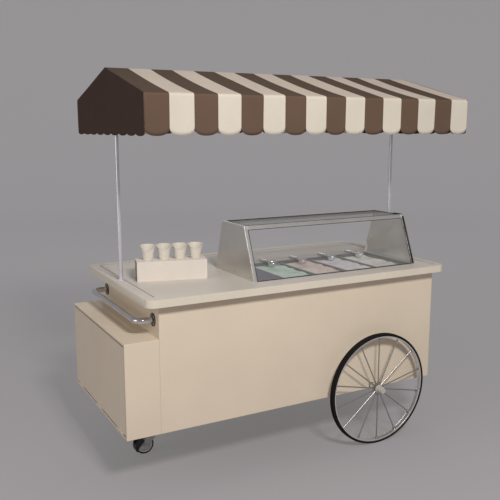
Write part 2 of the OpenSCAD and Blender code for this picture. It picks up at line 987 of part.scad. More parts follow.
// Foot pedal over the trailing side of the wheel, on a cross pin in the fork
module caster_brake() {
    half = fork_gap - 2;
    top = brake_z + 3;
    bottom = brake_z - 4;
    bend_x = brake_x - 30;
    pedal_run = 41;
    pedal_drop = 15;
    pedal_t = 5;
    color("black")
        difference() {
            translate([0, half, 0])
                rotate([90, 0, 0])
                    linear_extrude(2 * half)
                        polygon([
                            [brake_x + 6, bottom],
                            [brake_x + 6, top],
                            [bend_x, top],
                            [bend_x - pedal_run, bottom + pedal_t - pedal_drop],
                            [bend_x - pedal_run, bottom - pedal_drop],
                            [bend_x, bottom]
                        ]);
            rod_y(brake_x, brake_z, brake_pin_r + run_gap, -fork_gap, fork_gap);
        }
}

// ---------- nodes ----------

chassis_frame();
floor_panel();
body_frame();
front_panel();
rear_fascia();
end_panel(body_x0);  // left_panel
end_panel(body_x1 - panel_t);  // right_panel
hinge_pins();
inner_shelf();
countertop();
well_liner();
well_insulation();
cold_plates();
divider_bars();
filler_plate();
guard_end(guard_x0, guard_x0);  // guard_end_left
guard_end(guard_x1 - guard_t, guard_x1 - guard_sheet);  // guard_end_right
guard_top_frame();
guard_top_glass();
guard_front_glass();
pole(pole_x_left);  // pole_left
pole(pole_x_right);  // pole_right
canopy_frame();
canopy_cloth();
locker_shell();
push_handle();
axle();
caster_leg();
rear_door(door_x0 + door_gap, door_mid - door_gap / 2, door_x0 + door_gap / 2, 1);  // rear_door_left
rear_door(door_mid + door_gap / 2, door_x1 - door_gap, door_x1 - door_gap / 2, -1);  // rear_door_right
locker_door();
pan(0);  // pan_1
pan(1);  // pan_2
pan(2);  // pan_3
pan(3);  // pan_4
fill(0, "mediumaquamarine");  // fill_1
fill(1, "wheat");  // fill_2
fill(2, "thistle");  // fill_3
fill(3, "lightgray");  // fill_4
scoop(0);  // scoop_1
scoop(1);  // scoop_2
scoop(2);  // scoop_3
scoop(3);  // scoop_4
cup_stand();
cup(0);  // cup_1
cup(1);  // cup_2
cup(2);  // cup_3
cup(3);  // cup_4
wheel_tyre(-1);  // front_wheel_tyre
wheel_rim(-1);  // front_wheel_rim
wheel_spokes(-1);  // front_wheel_spokes
wheel_hub(-1);  // front_wheel_hub
wheel_tyre(1);  // rear_wheel_tyre
wheel_rim(1);  // rear_wheel_rim
wheel_spokes(1);  // rear_wheel_spokes
wheel_hub(1);  // rear_wheel_hub
caster_fork();
caster_tyre();
caster_hub();
caster_brake();
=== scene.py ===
"""The looks of the push vending cart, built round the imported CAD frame. Metres, in the part's own frame."""

import json
import math

import bmesh
import bpy
from mathutils import Matrix, Vector, noise


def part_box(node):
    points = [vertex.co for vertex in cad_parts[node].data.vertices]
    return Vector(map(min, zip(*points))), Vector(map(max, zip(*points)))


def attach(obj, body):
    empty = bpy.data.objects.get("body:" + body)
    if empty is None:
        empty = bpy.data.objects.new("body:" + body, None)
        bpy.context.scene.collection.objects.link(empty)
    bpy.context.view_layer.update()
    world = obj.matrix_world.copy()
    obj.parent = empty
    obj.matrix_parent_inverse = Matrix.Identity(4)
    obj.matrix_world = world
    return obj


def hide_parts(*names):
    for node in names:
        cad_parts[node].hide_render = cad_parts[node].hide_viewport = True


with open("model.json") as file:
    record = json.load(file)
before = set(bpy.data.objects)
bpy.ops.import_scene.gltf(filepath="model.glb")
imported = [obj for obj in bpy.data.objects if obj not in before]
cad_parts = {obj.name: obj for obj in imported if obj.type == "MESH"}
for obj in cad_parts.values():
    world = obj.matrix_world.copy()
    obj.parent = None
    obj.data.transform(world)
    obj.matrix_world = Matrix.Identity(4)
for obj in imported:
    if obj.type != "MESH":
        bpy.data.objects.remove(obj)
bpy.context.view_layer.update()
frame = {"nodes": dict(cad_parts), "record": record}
NODES = frame["nodes"]
SLOTS = {s["node"]: s["material_slot"] for s in frame["record"]["subparts"]}
BODY = {n: b for b, ns in frame["record"]["behaviour"]["bodies"].items() for n in ns}


# ---------- materials ----------

def srgb(r, g, b):
    """Linear colour from 0-255 screen values."""
    def lin(v):
        v /= 255
        return v / 12.92 if v <= 0.04045 else ((v + 0.055) / 1.055) ** 2.4
    return (lin(r), lin(g), lin(b), 1)


class Tree:
    """Small helper that builds one material's node tree."""

    def __init__(self, name, rough, metal=0.0):
        self.mat = bpy.data.materials.new(name)
        self.mat.use_nodes = True
        self.nodes = self.mat.node_tree.nodes
        self.links = self.mat.node_tree.links
        self.bsdf = self.nodes["Principled BSDF"]
        self.bsdf.inputs["Roughness"].default_value = rough
        self.bsdf.inputs["Metallic"].default_value = metal
        self.coords = self.nodes.new("ShaderNodeTexCoord")

    def place(self, scale=(1, 1, 1), turn=(0, 0, 0)):
        m = self.nodes.new("ShaderNodeMapping")
        m.inputs["Scale"].default_value = scale
        m.inputs["Rotation"].default_value = turn
        self.links.new(self.coords.outputs["Object"], m.inputs["Vector"])
        return m.outputs["Vector"]

    def noise(self, scale, detail=4, vector=None, rough=0.6):
        n = self.nodes.new("ShaderNodeTexNoise")
        n.inputs["Scale"].default_value = scale
        n.inputs["Detail"].default_value = detail
        n.inputs["Roughness"].default_value = rough
        self.links.new(vector or self.coords.outputs["Object"], n.inputs["Vector"])
        return n.outputs["Fac"]

    def voronoi(self, scale):
        n = self.nodes.new("ShaderNodeTexVoronoi")
        n.inputs["Scale"].default_value = scale
        self.links.new(self.coords.outputs["Object"], n.inputs["Vector"])
        return n.outputs["Distance"]

    def wave(self, scale, direction, vector=None, distortion=0.0, detail=0.0):
        n = self.nodes.new("ShaderNodeTexWave")
        n.bands_direction = direction
        n.inputs["Scale"].default_value = scale
        n.inputs["Distortion"].default_value = distortion
        n.inputs["Detail"].default_value = detail
        self.links.new(vector or self.coords.outputs["Object"], n.inputs["Vector"])
        return n.outputs["Fac"]

    def ramp(self, fac, stops):
        r = self.nodes.new("ShaderNodeValToRGB")
        r.color_ramp.elements[0].position, r.color_ramp.elements[0].color = stops[0]
        r.color_ramp.elements[1].position, r.color_ramp.elements[1].color = stops[-1]
        for p, c in stops[1:-1]:
            r.color_ramp.elements.new(p).color = c
        self.links.new(fac, r.inputs["Fac"])
        return r.outputs["Color"]

    def span(self, fac, low, high):
        m = self.nodes.new("ShaderNodeMapRange")
        m.inputs["To Min"].default_value = low
        m.inputs["To Max"].default_value = high
        self.links.new(fac, m.inputs["Value"])
        return m.outputs["Result"]

    def math(self, kind, a, b):
        m = self.nodes.new("ShaderNodeMath")
        m.operation = kind
        for socket, v in zip(m.inputs, (a, b)):
            if isinstance(v, (int, float)):
                socket.default_value = v
            else:
                self.links.new(v, socket)
        return m.outputs["Value"]

    def mix(self, fac, a, b):
        m = self.nodes.new("ShaderNodeMix")
        m.data_type = "RGBA"
        self.links.new(fac, m.inputs["Factor"])
        for socket, v in ((m.inputs["A"], a), (m.inputs["B"], b)):
            if isinstance(v, tuple):
                socket.default_value = v
            else:
                self.links.new(v, socket)
        return m.outputs["Result"]

    def height(self):
        s = self.nodes.new("ShaderNodeSeparateXYZ")
        self.links.new(self.coords.outputs["Object"], s.inputs["Vector"])
        return s.outputs["Z"]

    def colour(self, socket):
        self.links.new(socket, self.bsdf.inputs["Base Color"])

    def rough(self, socket):
        self.links.new(socket, self.bsdf.inputs["Roughness"])

    def bump(self, height, distance, strength=0.5):
        b = self.nodes.new("ShaderNodeBump")
        b.inputs["Strength"].default_value = strength
        b.inputs["Distance"].default_value = distance
        self.links.new(height, b.inputs["Height"])
        self.links.new(b.outputs["Normal"], self.bsdf.inputs["Normal"])


def shade(c, k):
    """A colour made lighter or darker."""
    return (min(1, c[0] * k), min(1, c[1] * k), min(1, c[2] * k), 1)


def painted(name, c, rough=0.42, grime=True):
    t = Tree(name, rough)
    cloud = t.noise(2.2, 5)
    tint = t.ramp(cloud, [(0.3, shade(c, 0.955)), (0.7, shade(c, 1.02))])
    if grime:
        low = t.math("SUBTRACT", 1.0, t.span(t.math("MULTIPLY", t.height(), 2.0), 0.0, 1.0))
        mask = t.math("MULTIPLY", t.math("POWER", low, 4.0), t.noise(9, 6))
        tint = t.mix(t.math("MULTIPLY", mask, 0.35), tint, shade(c, 0.55))
    t.colour(tint)
    t.rough(t.span(t.noise(14, 4), rough - 0.06, rough + 0.10))
    t.bump(t.math("ADD", t.noise(420, 2), t.math("MULTIPLY", t.noise(60, 3), 0.6)), 0.0006, 0.25)
    return t.mat


def metal(name, c, rough, brushed=None):
    t = Tree(name, rough, 1.0)
    cloud = t.noise(6, 4)
    t.colour(t.ramp(cloud, [(0.3, shade(c, 0.93)), (0.7, shade(c, 1.04))]))
    if brushed:
        grain = t.noise(90, 5, t.place(brushed))
        t.rough(t.span(grain, rough - 0.07, rough + 0.12))
        t.bump(grain, 0.0002, 0.12)
    else:
        t.rough(t.span(t.noise(18, 5), max(0.02, rough - 0.03), rough + 0.06))
    return t.mat


def canvas(name, c):
    t = Tree(name, 0.62)
    weave = t.math("ADD", t.wave(260, "X", distortion=0.6, detail=1),
                   t.wave(260, "Y", distortion=0.6, detail=1))
    weave = t.math("ADD", weave, t.wave(260, "Z", distortion=0.6, detail=1))
    cloud = t.noise(3.0, 5)
    base = t.ramp(cloud, [(0.3, shade(c, 0.93)), (0.72, shade(c, 1.04))])
    t.colour(t.mix(t.span(weave, 0.0, 0.10), base, shade(c, 0.72)))
    t.rough(t.span(t.noise(25, 3), 0.80, 0.92))
    t.bump(weave, 0.0004, 0.3)
    t.bsdf.inputs["Specular IOR Level"].default_value = 0.2
    return t.mat


def plywood(name, c):
    t = Tree(name, 0.5)
    grain = t.noise(11, 6, t.place((1, 14, 14)))
    rings = t.wave(5, "Y", t.place((0.35, 3, 3)), 5.0, 3.0)
    t.colour(t.mix(t.span(rings, 0.0, 0.5), t.ramp(grain, [(0.3, shade(c, 0.78)), (0.7, c)]), shade(c, 0.7)))
    t.rough(t.span(grain, 0.4, 0.62))
    t.bump(grain, 0.0005, 0.3)
    return t.mat


def food(name, c, fleck):
    t = Tree(name, 0.38)
    cloud = t.noise(26, 5)
    base = t.ramp(cloud, [(0.32, shade(c, 0.86)), (0.68, shade(c, 1.06))])
    specks = t.ramp(t.voronoi(150), [(0.10, (1, 1, 1, 1)), (0.16, (0, 0, 0, 1))])
    t.colour(t.mix(t.math("MULTIPLY", specks, 0.45), base, fleck))
    t.rough(t.span(t.noise(60, 4), 0.28, 0.5))
    t.bump(t.math("ADD", t.noise(95, 5), t.noise(30, 3)), 0.0022, 0.55)
    t.bsdf.inputs["Subsurface Weight"].default_value = 0.12
    t.bsdf.inputs["Subsurface Radius"].default_value = (0.006, 0.005, 0.004)
    return t.mat


def plain(name, c, rough, spread=0.05, bump=0.0003, scale=70):
    t = Tree(name, rough)
    t.colour(t.ramp(t.noise(8, 4), [(0.3, shade(c, 1 - spread)), (0.7, shade(c, 1 + spread))]))
    t.rough(t.span(t.noise(scale / 3, 3), rough - 0.05, rough + 0.1))
    t.bump(t.noise(scale, 4), bump, 0.4)
    return t.mat


def adjust(mat, socket, value):
    """Sets a constant on a finished material's shader."""
    mat.node_tree.nodes["Principled BSDF"].inputs[socket].default_value = value


def glass(name, dark, light, alpha, rough, coat):
    t = Tree(name, rough)
    t.colour(t.ramp(t.noise(5, 5), [(0.3, dark), (0.7, light)]))
    t.rough(t.span(t.noise(12, 4), rough, rough + 0.06))
    t.bsdf.inputs["Alpha"].default_value = alpha
    t.bsdf.inputs["Coat Weight"].default_value = coat
    t.bsdf.inputs["Coat Roughness"].default_value = 0.03
    return t.mat


MAT = {
    "cream_panel": painted("cream_paint", srgb(222, 206, 184)),
    "counter_paint": painted("counter_paint", srgb(219, 208, 190), 0.42, grime=False),
    "plywood": plywood("plywood", srgb(196, 160, 112)),
    "frame_paint": painted("black_powder", srgb(52, 51, 52), 0.5, grime=False),
    "frame_aluminium": metal("mill_aluminium", srgb(196, 198, 200), 0.36, (1, 30, 30)),
    "chrome": metal("polished_chrome", srgb(214, 214, 218), 0.12),
    "stainless": metal("brushed_stainless", srgb(168, 168, 168), 0.46, (40, 2, 40)),
    "guard_glass": glass("guard_glass", srgb(170, 172, 170), srgb(182, 184, 182), 0.05, 0.03, 0.35),
    "foam": plain("foam", srgb(214, 198, 140), 0.9, 0.08, 0.001, 300),
    "food_mint": food("mint", srgb(190, 210, 194), srgb(120, 160, 138)),
    "food_peach": food("peach", srgb(224, 205, 192), srgb(190, 150, 130)),
    "food_lavender": food("lavender", srgb(226, 220, 222), srgb(176, 164, 184)),
    "food_vanilla": food("vanilla", srgb(234, 230, 226), srgb(182, 174, 162)),
    "white_board": plain("white_board", srgb(222, 213, 202), 0.45, 0.02),
    "paper": plain("waxed_paper", srgb(220, 212, 199), 0.55, 0.02, 0.0002, 400),
    "canopy_fabric": canvas("canvas_brown", srgb(101, 81, 67)),
    "tyre_rubber": plain("tyre_rubber", srgb(22, 19, 16), 0.85, 0.2, 0.0005, 160),
    "zinc": plain("zinc_plate", srgb(176, 177, 176), 0.40, 0.06),
    # the caster hub's own light grey, lifted further as painted light against the shade under the cart
    "caster_plastic": plain("caster_plastic", srgb(212, 212, 208), 0.4),
    "black_plastic": plain("black_plastic", srgb(26, 26, 27), 0.45, 0.15, 0.0006, 260),
}
# a slightly darker copy of the counter paint for the level field: painted shade on the top
SHADED_COUNTER_FIELD = painted("counter_field_painted_shade", srgb(213, 204, 193), 0.42, grime=False)
CREAM_CLOTH = canvas("canvas_cream", srgb(213, 204, 188))
# the roof's brown and cream below are darker copies of the valance cloths: painted shade on the slopes
SHADED_BROWN_CLOTH = canvas("canvas_brown_painted_shade", srgb(86, 69, 56))
SHADED_CREAM_CLOTH = canvas("canvas_cream_painted_shade", srgb(206, 191, 176))
# the gables' brown is darker still: painted shade on the end cloths
SHADED_GABLE_CLOTH = canvas("canvas_gable_painted_shade", srgb(74, 55, 48))
TOP_GLASS = glass("top_glass", srgb(66, 66, 68), srgb(74, 74, 76), 0.25, 0.06, 0.3)
# near-black: the guard's gaskets, and painted shade in the counter's groove and the locker door's gap
DARK_GASKET_AND_SHADE = plain("dark_gasket_and_painted_shade", srgb(30, 28, 27), 0.6, 0.15)
# a mid-brown bead that paints the shadow of the counter field's step
STEP_SHADOW = plain("painted_step_shadow", srgb(96, 82, 70), 0.7, 0.1)
GUARD_STEEL = metal("guard_steel", srgb(222, 220, 214), 0.27, (3, 3, 60))
BRIGHT_CHROME = metal("dipper_chrome", srgb(232, 232, 234), 0.14)
SATIN_HUB = plain("satin_hub", srgb(190, 186, 176), 0.42, 0.06)
SPOKE_STEEL = metal("spoke_steel", srgb(176, 173, 168), 0.32)
RIM_STEEL = metal("rim_steel", srgb(214, 214, 214), 0.30)
POLE_CHROME = metal("pole_chrome", srgb(226, 226, 230), 0.24)
FLANGE_STEEL = metal("flange_steel", srgb(104, 102, 100), 0.4)
# the filler plate's dark purple-grey is painted shade and a painted reflection of the backdrop, on brushed
# steel
SHADED_FILLER_STEEL = metal("filler_steel_painted_shade", srgb(104, 98, 112), 0.42, (40, 2, 40))
# nodes whose finish differs from the rest of their slot
SPECIAL = {
    "filler_plate": SHADED_FILLER_STEEL,
    "guard_top_glass": TOP_GLASS,
    "front_wheel_hub": SATIN_HUB,
    "rear_wheel_hub": SATIN_HUB,
    "front_wheel_spokes": SPOKE_STEEL,
    "rear_wheel_spokes": SPOKE_STEEL,
    "front_wheel_rim": RIM_STEEL,
    "rear_wheel_rim": RIM_STEEL,
    "pole_left": POLE_CHROME,
    "pole_right": POLE_CHROME,
}

adjust(GUARD_STEEL, "Metallic", 0.85)
adjust(POLE_CHROME, "Metallic", 0.6)
adjust(RIM_STEEL, "Metallic", 0.7)
adjust(MAT["zinc"], "Metallic", 0.45)
adjust(MAT["tyre_rubber"], "Specular IOR Level", 0.2)


# ---------- mesh helpers ----------

def add(name, mesh, body, mats, smooth=40):
    """Puts a finished mesh in the scene and lets it ride on a body."""
    obj = bpy.data.objects.new(name, mesh)
    bpy.context.scene.collection.objects.link(obj)
    for m in mats if isinstance(mats, (list, tuple)) else [mats]:
        mesh.materials.append(m)
    mesh.shade_smooth()
    if smooth < 180:
        mesh.set_sharp_from_angle(angle=math.radians(smooth))
    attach(obj, body)
    return obj


def from_bm(name, bm, body, mats, smooth=40):
    """Turns a bmesh into a finished piece."""
    mesh = bpy.data.meshes.new(name)
    bmesh.ops.recalc_face_normals(bm, faces=bm.faces)
    bm.to_mesh(mesh)
    bm.free()
    return add(name, mesh, body, mats, smooth)


def welded(node):
    """A CAD node's surface as whole faces."""
    bm = bmesh.new()
    bm.from_mesh(NODES[node].data)
    bmesh.ops.remove_doubles(bm, verts=bm.verts, dist=1e-5)
    bmesh.ops.dissolve_limit(bm, angle_limit=math.radians(0.3), verts=bm.verts, edges=bm.edges)
    return bm


def bevel(bm, edges, width, segments):
    bmesh.ops.bevel(bm, geom=edges, offset=width, segments=segments, affect="EDGES", profile=0.5,
                    clamp_overlap=True)


def soften(node, width, segments=2, mats=None, choose=None, narrow=None):
    """A copy of a CAD node with rounded edges, shown in its place.

    choose(point) picks a face's material, and narrow(edge) says which edges get only a hairline.
    """
    hairline = 0.0006
    bm = welded(node)
    sharp = [e for e in bm.edges if len(e.link_faces) == 2 and e.calc_face_angle(0) > math.radians(28)]
    fine = [e for e in sharp if narrow and narrow(e)]
    kept = set(fine)
    bevel(bm, [e for e in sharp if e not in kept], width, segments)
    if fine:
        bevel(bm, [e for e in fine if e.is_valid], hairline, 1)
    bm.normal_update()
    mats = mats or [MAT[SLOTS[node]]]
    if choose:
        for f in bm.faces:
            f.material_index = choose(f.calc_center_median())
    obj = from_bm("look_" + node, bm, BODY[node], mats)
    w = obj.modifiers.new("weighted", "WEIGHTED_NORMAL")
    w.keep_sharp = True
    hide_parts(node)
    return obj


def circle(r, z, seg):
    """Points of a circle about Z."""
    return [Vector((r * math.cos(2 * math.pi * k / seg), r * math.sin(2 * math.pi * k / seg), z))
            for k in range(seg)]


def join_rings(bm, rings, closed=False):
    """Quads between rings that have the same number of points."""
    n = len(rings[0])
    for a, b in zip(rings, rings[1:] + (rings[:1] if closed else [])):
        for k in range(n):
            bm.faces.new([a[k], a[(k + 1) % n], b[(k + 1) % n], b[k]])


def lathe(bm, profile, seg, place):
    """Turns (radius, height) points about Z and moves the result with a matrix."""
    rings = []
    for r, z in profile:
        if r < 1e-6:
            rings.append([bm.verts.new(place @ Vector((0, 0, z)))])
        else:
            rings.append([bm.verts.new(place @ p) for p in circle(r, z, seg)])
    for a, b in zip(rings, rings[1:]):
        for k in range(seg):
            q = [a[k % len(a)], a[(k + 1) % len(a)], b[(k + 1) % len(b)], b[k % len(b)]]
            q = list(dict.fromkeys(q))
            if len(q) > 2:
                bm.faces.new(q)


def tube(bm, path, radius, seg=10, closed=False):
    """A round bead along a path of points."""
    n = len(path)
    rings = []
    for i, p in enumerate(path):
        before = path[(i - 1) % n] if closed or i else path[0]
        after = path[(i + 1) % n] if closed or i < n - 1 else path[-1]
        along = (after - before).normalized()
        side = along.cross(Vector((0, 0, 1)))
        if side.length < 1e-3:
            side = along.cross(Vector((0, 1, 0)))
        side.normalize()
        up = side.cross(along).normalized()
        rings.append([bm.verts.new(p + radius * (math.cos(2 * math.pi * k / seg) * side
                                                 + math.sin(2 * math.pi * k / seg) * up))
                      for k in range(seg)])
    join_rings(bm, rings, closed)
    if not closed:
        bm.faces.new(rings[0])
        bm.faces.new(rings[-1])


def beads(name, body, mat, runs=(), loops=()):
    """One piece of round beads: (path, radius) pairs, where a loop is closed and a run is open."""
    bm = bmesh.new()
    for path, radius in loops:
        tube(bm, path, radius, 8, closed=True)
    for path, radius in runs:
        tube(bm, path, radius, 8)
    return from_bm(name, bm, body, mat, 180)


def round_rect(x0, y0, x1, y1, r, z, n=8):
    """Points of a level rectangle with round corners."""
    pts = []
    corners = ((x1 - r, y1 - r, 0), (x0 + r, y1 - r, 90), (x0 + r, y0 + r, 180), (x1 - r, y0 + r, 270))
    for cx, cy, a in corners:
        for k in range(n + 1):
            t = math.radians(a + 90 * k / n)
            pts.append(Vector((cx + r * math.cos(t), cy + r * math.sin(t), z)))
    return pts


def pointing(place, direction):
    """Matrix that stands a part made along +Z on a point, facing a direction."""
    return Matrix.Translation(place) @ Vector(direction).to_track_quat("Z", "Y").to_matrix().to_4x4()


def grid(bm, rows):
    """Quads between rows of points; returns the faces by row and column."""
    verts = [[bm.verts.new(p) for p in row] for row in rows]
    out = []
    for a, b in zip(verts, verts[1:]):
        out.append([bm.faces.new([a[k], a[k + 1], b[k + 1], b[k]]) for k in range(len(a) - 1)])
    return out


# ---------- camera and stage ----------

def make_camera():
    """The camera at the reference view: its bearing, height angle, place and lens."""
    az, el = math.radians(-28.551), math.radians(9.97)
    back = Vector((math.sin(az) * math.cos(el), -math.cos(az) * math.cos(el), math.sin(el)))
    cam = bpy.data.objects.new("camera", bpy.data.cameras.new("camera"))
    bpy.context.scene.collection.objects.link(cam)
    cam.data.sensor_width = 36
    cam.data.lens = 50.02
    cam.data.clip_end = 100
    cam.location = (-2.020, -3.5445, 1.826)
    cam.rotation_mode = "QUATERNION"
    cam.rotation_quaternion = (-back).to_track_quat("-Z", "Y")
    bpy.context.scene.camera = cam


def area_light(name, place, aim, size, power, colour):
    """A soft rectangular lamp at a place, turned to what it lights."""
    data = bpy.data.lights.new(name, "AREA")
    data.shape, data.size, data.size_y = "RECTANGLE", size[0], size[1]
    data.energy, data.color = power, colour
    lamp = bpy.data.objects.new(name, data)
    bpy.context.scene.collection.objects.link(lamp)
    lamp.location = place
    lamp.rotation_mode = "QUATERNION"
    lamp.rotation_quaternion = (Vector(aim) - Vector(place)).to_track_quat("-Z", "Y")


def make_stage():
    """A round studio bowl: a pale floor that curves up into a wall."""
    floor_r, curve_r, top = 11.0, 4.0, 10.0
    profile = [(0, 0), (2, 0), (5, 0), (8, 0), (floor_r, 0)]
    for k in range(1, 13):
        t = math.pi / 2 * k / 12
        profile.append((floor_r + curve_r * math.sin(t), curve_r * (1 - math.cos(t))))
    profile.append((floor_r + curve_r, top))
    bm = bmesh.new()
    lathe(bm, profile, 96, Matrix.Identity(4))
    mesh = bpy.data.meshes.new("studio_floor")
    bm.to_mesh(mesh)
    bm.free()
    mesh.shade_smooth()
    obj = bpy.data.objects.new("studio_floor", mesh)
    bpy.context.scene.collection.objects.link(obj)
    t = Tree("studio_grey", 0.9)
    away = t.nodes.new("ShaderNodeVectorMath")
    away.operation = "LENGTH"
    t.links.new(t.coords.outputs["Object"], away.inputs[0])
    ground = t.ramp(t.math("DIVIDE", away.outputs["Value"], 12.0),
                    [(0.0, srgb(124, 119, 122)), (0.27, srgb(152, 147, 150)), (0.7, srgb(180, 175, 178)),
                     (1.0, srgb(186, 182, 184))])
    t.colour(t.mix(t.span(t.noise(0.6, 3), 0.0, 0.03), ground, srgb(140, 137, 138)))
    t.bsdf.inputs["Emission Color"].default_value = (1, 0.985, 0.99, 1)
    t.bsdf.inputs["Emission Strength"].default_value = 0.15
    t.bsdf.inputs["Specular IOR Level"].default_value = 0.1
    mesh.materials.append(t.mat)
    world = bpy.data.worlds.new("studio")
    bpy.context.scene.world = world
    world.use_nodes = True
    world.node_tree.nodes["Background"].inputs["Color"].default_value = (0.93, 0.95, 1.0, 1)
    world.node_tree.nodes["Background"].inputs["Strength"].default_value = 0.25
    area_light("key", (-0.95, -4.3, 4.2), (-0.1, 0, 0.9), (0.9, 0.7), 191, (1, 0.985, 0.965))
    area_light("fill", (-5.5, -0.8, 2.2), (0, 0, 0.9), (3.0, 3.0), 44, (1, 0.98, 0.95))
    area_light("back", (2.5, 5.5, 4.6), (0, 0, 1.0), (3.5, 2.5), 30, (1, 1, 1))
    bpy.context.scene.view_settings.view_transform = "Standard"


# ---------- canopy cloth ----------

CLOTH_LOW, CLOTH_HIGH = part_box("canopy_cloth")
HALF, RIDGE, HEM = CLOTH_HIGH.y, CLOTH_HIGH.z, CLOTH_LOW.z
# height of the roof's lower edge
EAVE = 1.984
# drop of the valance's scallops below their cusps
SCALLOP = 0.037
CUSP = HEM + SCALLOP
STRIPES = 16
# columns of faces in one stripe
COLUMNS = 16
CLOTH_THICKNESS = 0.0014


def rounded(points, radii, n=6):
    """A polyline in 2D with its inner corners rounded."""
    out = [points[0]]
    for p, q, s, r in zip(points, points[1:], points[2:], radii):
        a, b = (p - q).normalized(), (s - q).normalized()
        half = a.angle(b) / 2
        run = r / math.tan(half)
        centre = q + (a + b).normalized() * (r / math.sin(half))
        start, end = q + a * run - centre, q + b * run - centre
        turn = start.angle_signed(end)
        for k in range(n + 1):
            t = -turn * k / n
            out.append(centre + Vector((start.x * math.cos(t) - start.y * math.sin(t),
                                        start.x * math.sin(t) + start.y * math.cos(t))))
    out.append(points[-1])
    return out


def scallop(u, depth, power):
    """How far the edge hangs below its cusps, for u from -1 to 1 across one scallop."""
    return depth * (1 - min(1.0, abs(u)) ** power) ** (1 / power)


def cosine(n):
    """Values from -1 to 1, closer together at the ends."""
    return [-math.cos(math.pi * k / n) for k in range(n + 1)]


def roof_outline():
    """Points across the cover, from one valance over the ridge to the other."""
    inset = 0.0006
    outline = rounded([Vector((-HALF + inset, CUSP)), Vector((-HALF + inset, EAVE - inset)),
                       Vector((0, RIDGE - inset)),
                       Vector((HALF - inset, EAVE - inset)), Vector((HALF - inset, CUSP))],
                      [0.016, 0.02, 0.016], 6)
    # even steps along the two valances and two slopes; the rounded corners keep their own points
    counts = {0: 9, 7: 20, 14: 20, 21: 9}
    points = []
    for i, (p, q) in enumerate(zip(outline, outline[1:])):
        n = counts.get(i, 1)
        points += [p + (q - p) * k / n for k in range(n)]
    points.append(outline[-1])
    return points


def cover_point(p, x, u, bay_length):
    """Where a point of the flat outline hangs: valances flare and ripple, slopes sag between the frames."""
    y, z = p
    side = -1 if y < 0 else 1
    if abs(y) > HALF - 0.0012 and z < EAVE - 0.012:
        down = (EAVE - z) / (EAVE - CUSP)
        z -= scallop(u, SCALLOP, 2.3) * down
        flare = 0.0045 * down * (0.5 - 0.5 * u * u) + 0.0022 * down * math.sin(x * 11 + side)
        ripple = 0.0035 * down ** 1.5 * noise.noise(Vector((x * 7, side * 3.1, z * 5)))
        y -= side * max(0.0, flare + abs(ripple))
    else:
        t = 1 - abs(y) / HALF
        bay = abs(math.sin(math.pi * (x - CLOTH_LOW.x) / bay_length))
        sag = 0.007 * bay ** 1.3 * math.sin(math.pi * min(1, max(0, t))) ** 0.8
        crease = 0.0022 * math.sin(math.pi * t) * noise.noise(Vector((x * 5, y * 3, 2.7)))
        z -= sag + abs(crease)
    return Vector((x, y, z))


def canopy_cover(outline):
    """The striped roof and valances, one continuous curved sheet."""
    frame_low, frame_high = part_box("canopy_frame")
    bay_length = (frame_high.x - frame_low.x) / 3
    stripe = (CLOTH_HIGH.x - CLOTH_LOW.x) / STRIPES
    columns = []
    for s in range(STRIPES):
        for u in cosine(COLUMNS)[:-1] if s < STRIPES - 1 else cosine(COLUMNS):
            columns.append((CLOTH_LOW.x + stripe * (s + (u + 1) / 2), u))
    bm = bmesh.new()
    faces = grid(bm, [[cover_point(p, x, u, bay_length) for x, u in columns] for p in outline])
    for row in faces:
        for k, f in enumerate(row):
            # roof faces take the darker brown and cream: painted shade on the slopes
            roof = 2 if f.calc_center_median().z > EAVE - 0.004 else 0
            f.material_index = roof + (k // COLUMNS) % 2
    cloths = [MAT["canopy_fabric"], CREAM_CLOTH, SHADED_BROWN_CLOTH, SHADED_CREAM_CLOTH]
    cover = from_bm("canopy_cover", bm, "cart", cloths, 180)
    thick = cover.modifiers.new("cloth", "SOLIDIFY")
    thick.thickness, thick.offset = CLOTH_THICKNESS, -1
    return cover


def gable(name, x, inward):
    """One end cloth with a shallow scalloped lower edge, in a darker brown that is painted shade."""
    teeth, fine, levels, drop, edge = 9, 10, 26, 0.013, 0.0015
    columns = []
    for s in range(teeth):
        for u in cosine(fine)[:-1] if s < teeth - 1 else cosine(fine):
            columns.append((-HALF + 2 * HALF * (s + (u + 1) / 2) / teeth, u))
    rows = []
    for r in range(levels + 1):
        t = r / levels
        row = []
        for y, u in columns:
            y = max(-HALF + edge, min(HALF - edge, y))
            top = RIDGE - edge - abs(y) * (RIDGE - EAVE) / HALF
            foot = HEM + 0.012 - scallop(u, drop, 2.0)
            z = top + (foot - top) * t
            bow = math.sin(math.pi * t) * math.cos(math.pi * y / (2 * HALF)) * 0.004
            fold = 0.0016 * noise.noise(Vector((x, y * 9, z * 4))) * t
            row.append(Vector((x + inward * (0.0012 + bow + abs(fold)), y, z)))
        rows.append(row)
    bm = bmesh.new()
    grid(bm, rows)
    end = from_bm(name, bm, "cart", SHADED_GABLE_CLOTH, 180)
    thick = end.modifiers.new("cloth", "SOLIDIFY")
    thick.thickness, thick.offset = CLOTH_THICKNESS, 0
    return end


def canopy_welts(outline):
    """Sewn welts where the gables meet the cover, in the roof's darker brown, which carries painted shade."""
    radius = 0.0022
    runs = []
    for x, inward in ((CLOTH_LOW.x, 1), (CLOTH_HIGH.x, -1)):
        runs.append(([Vector((x + inward * radius, p.x * 0.996, p.y - 0.0015))
                      for p in outline if p.y > CUSP + 0.004], radius))
    return beads("canopy_welts", "cart", SHADED_BROWN_CLOTH, runs)


def canopy():
    outline = roof_outline()
    cover = canopy_cover(outline)
    ends = [gable("canopy_gable_left", CLOTH_LOW.x, 1), gable("canopy_gable_right", CLOTH_HIGH.x, -1)]
    welts = canopy_welts(outline)
    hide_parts("canopy_cloth")


# ---------- cups, food and dippers ----------

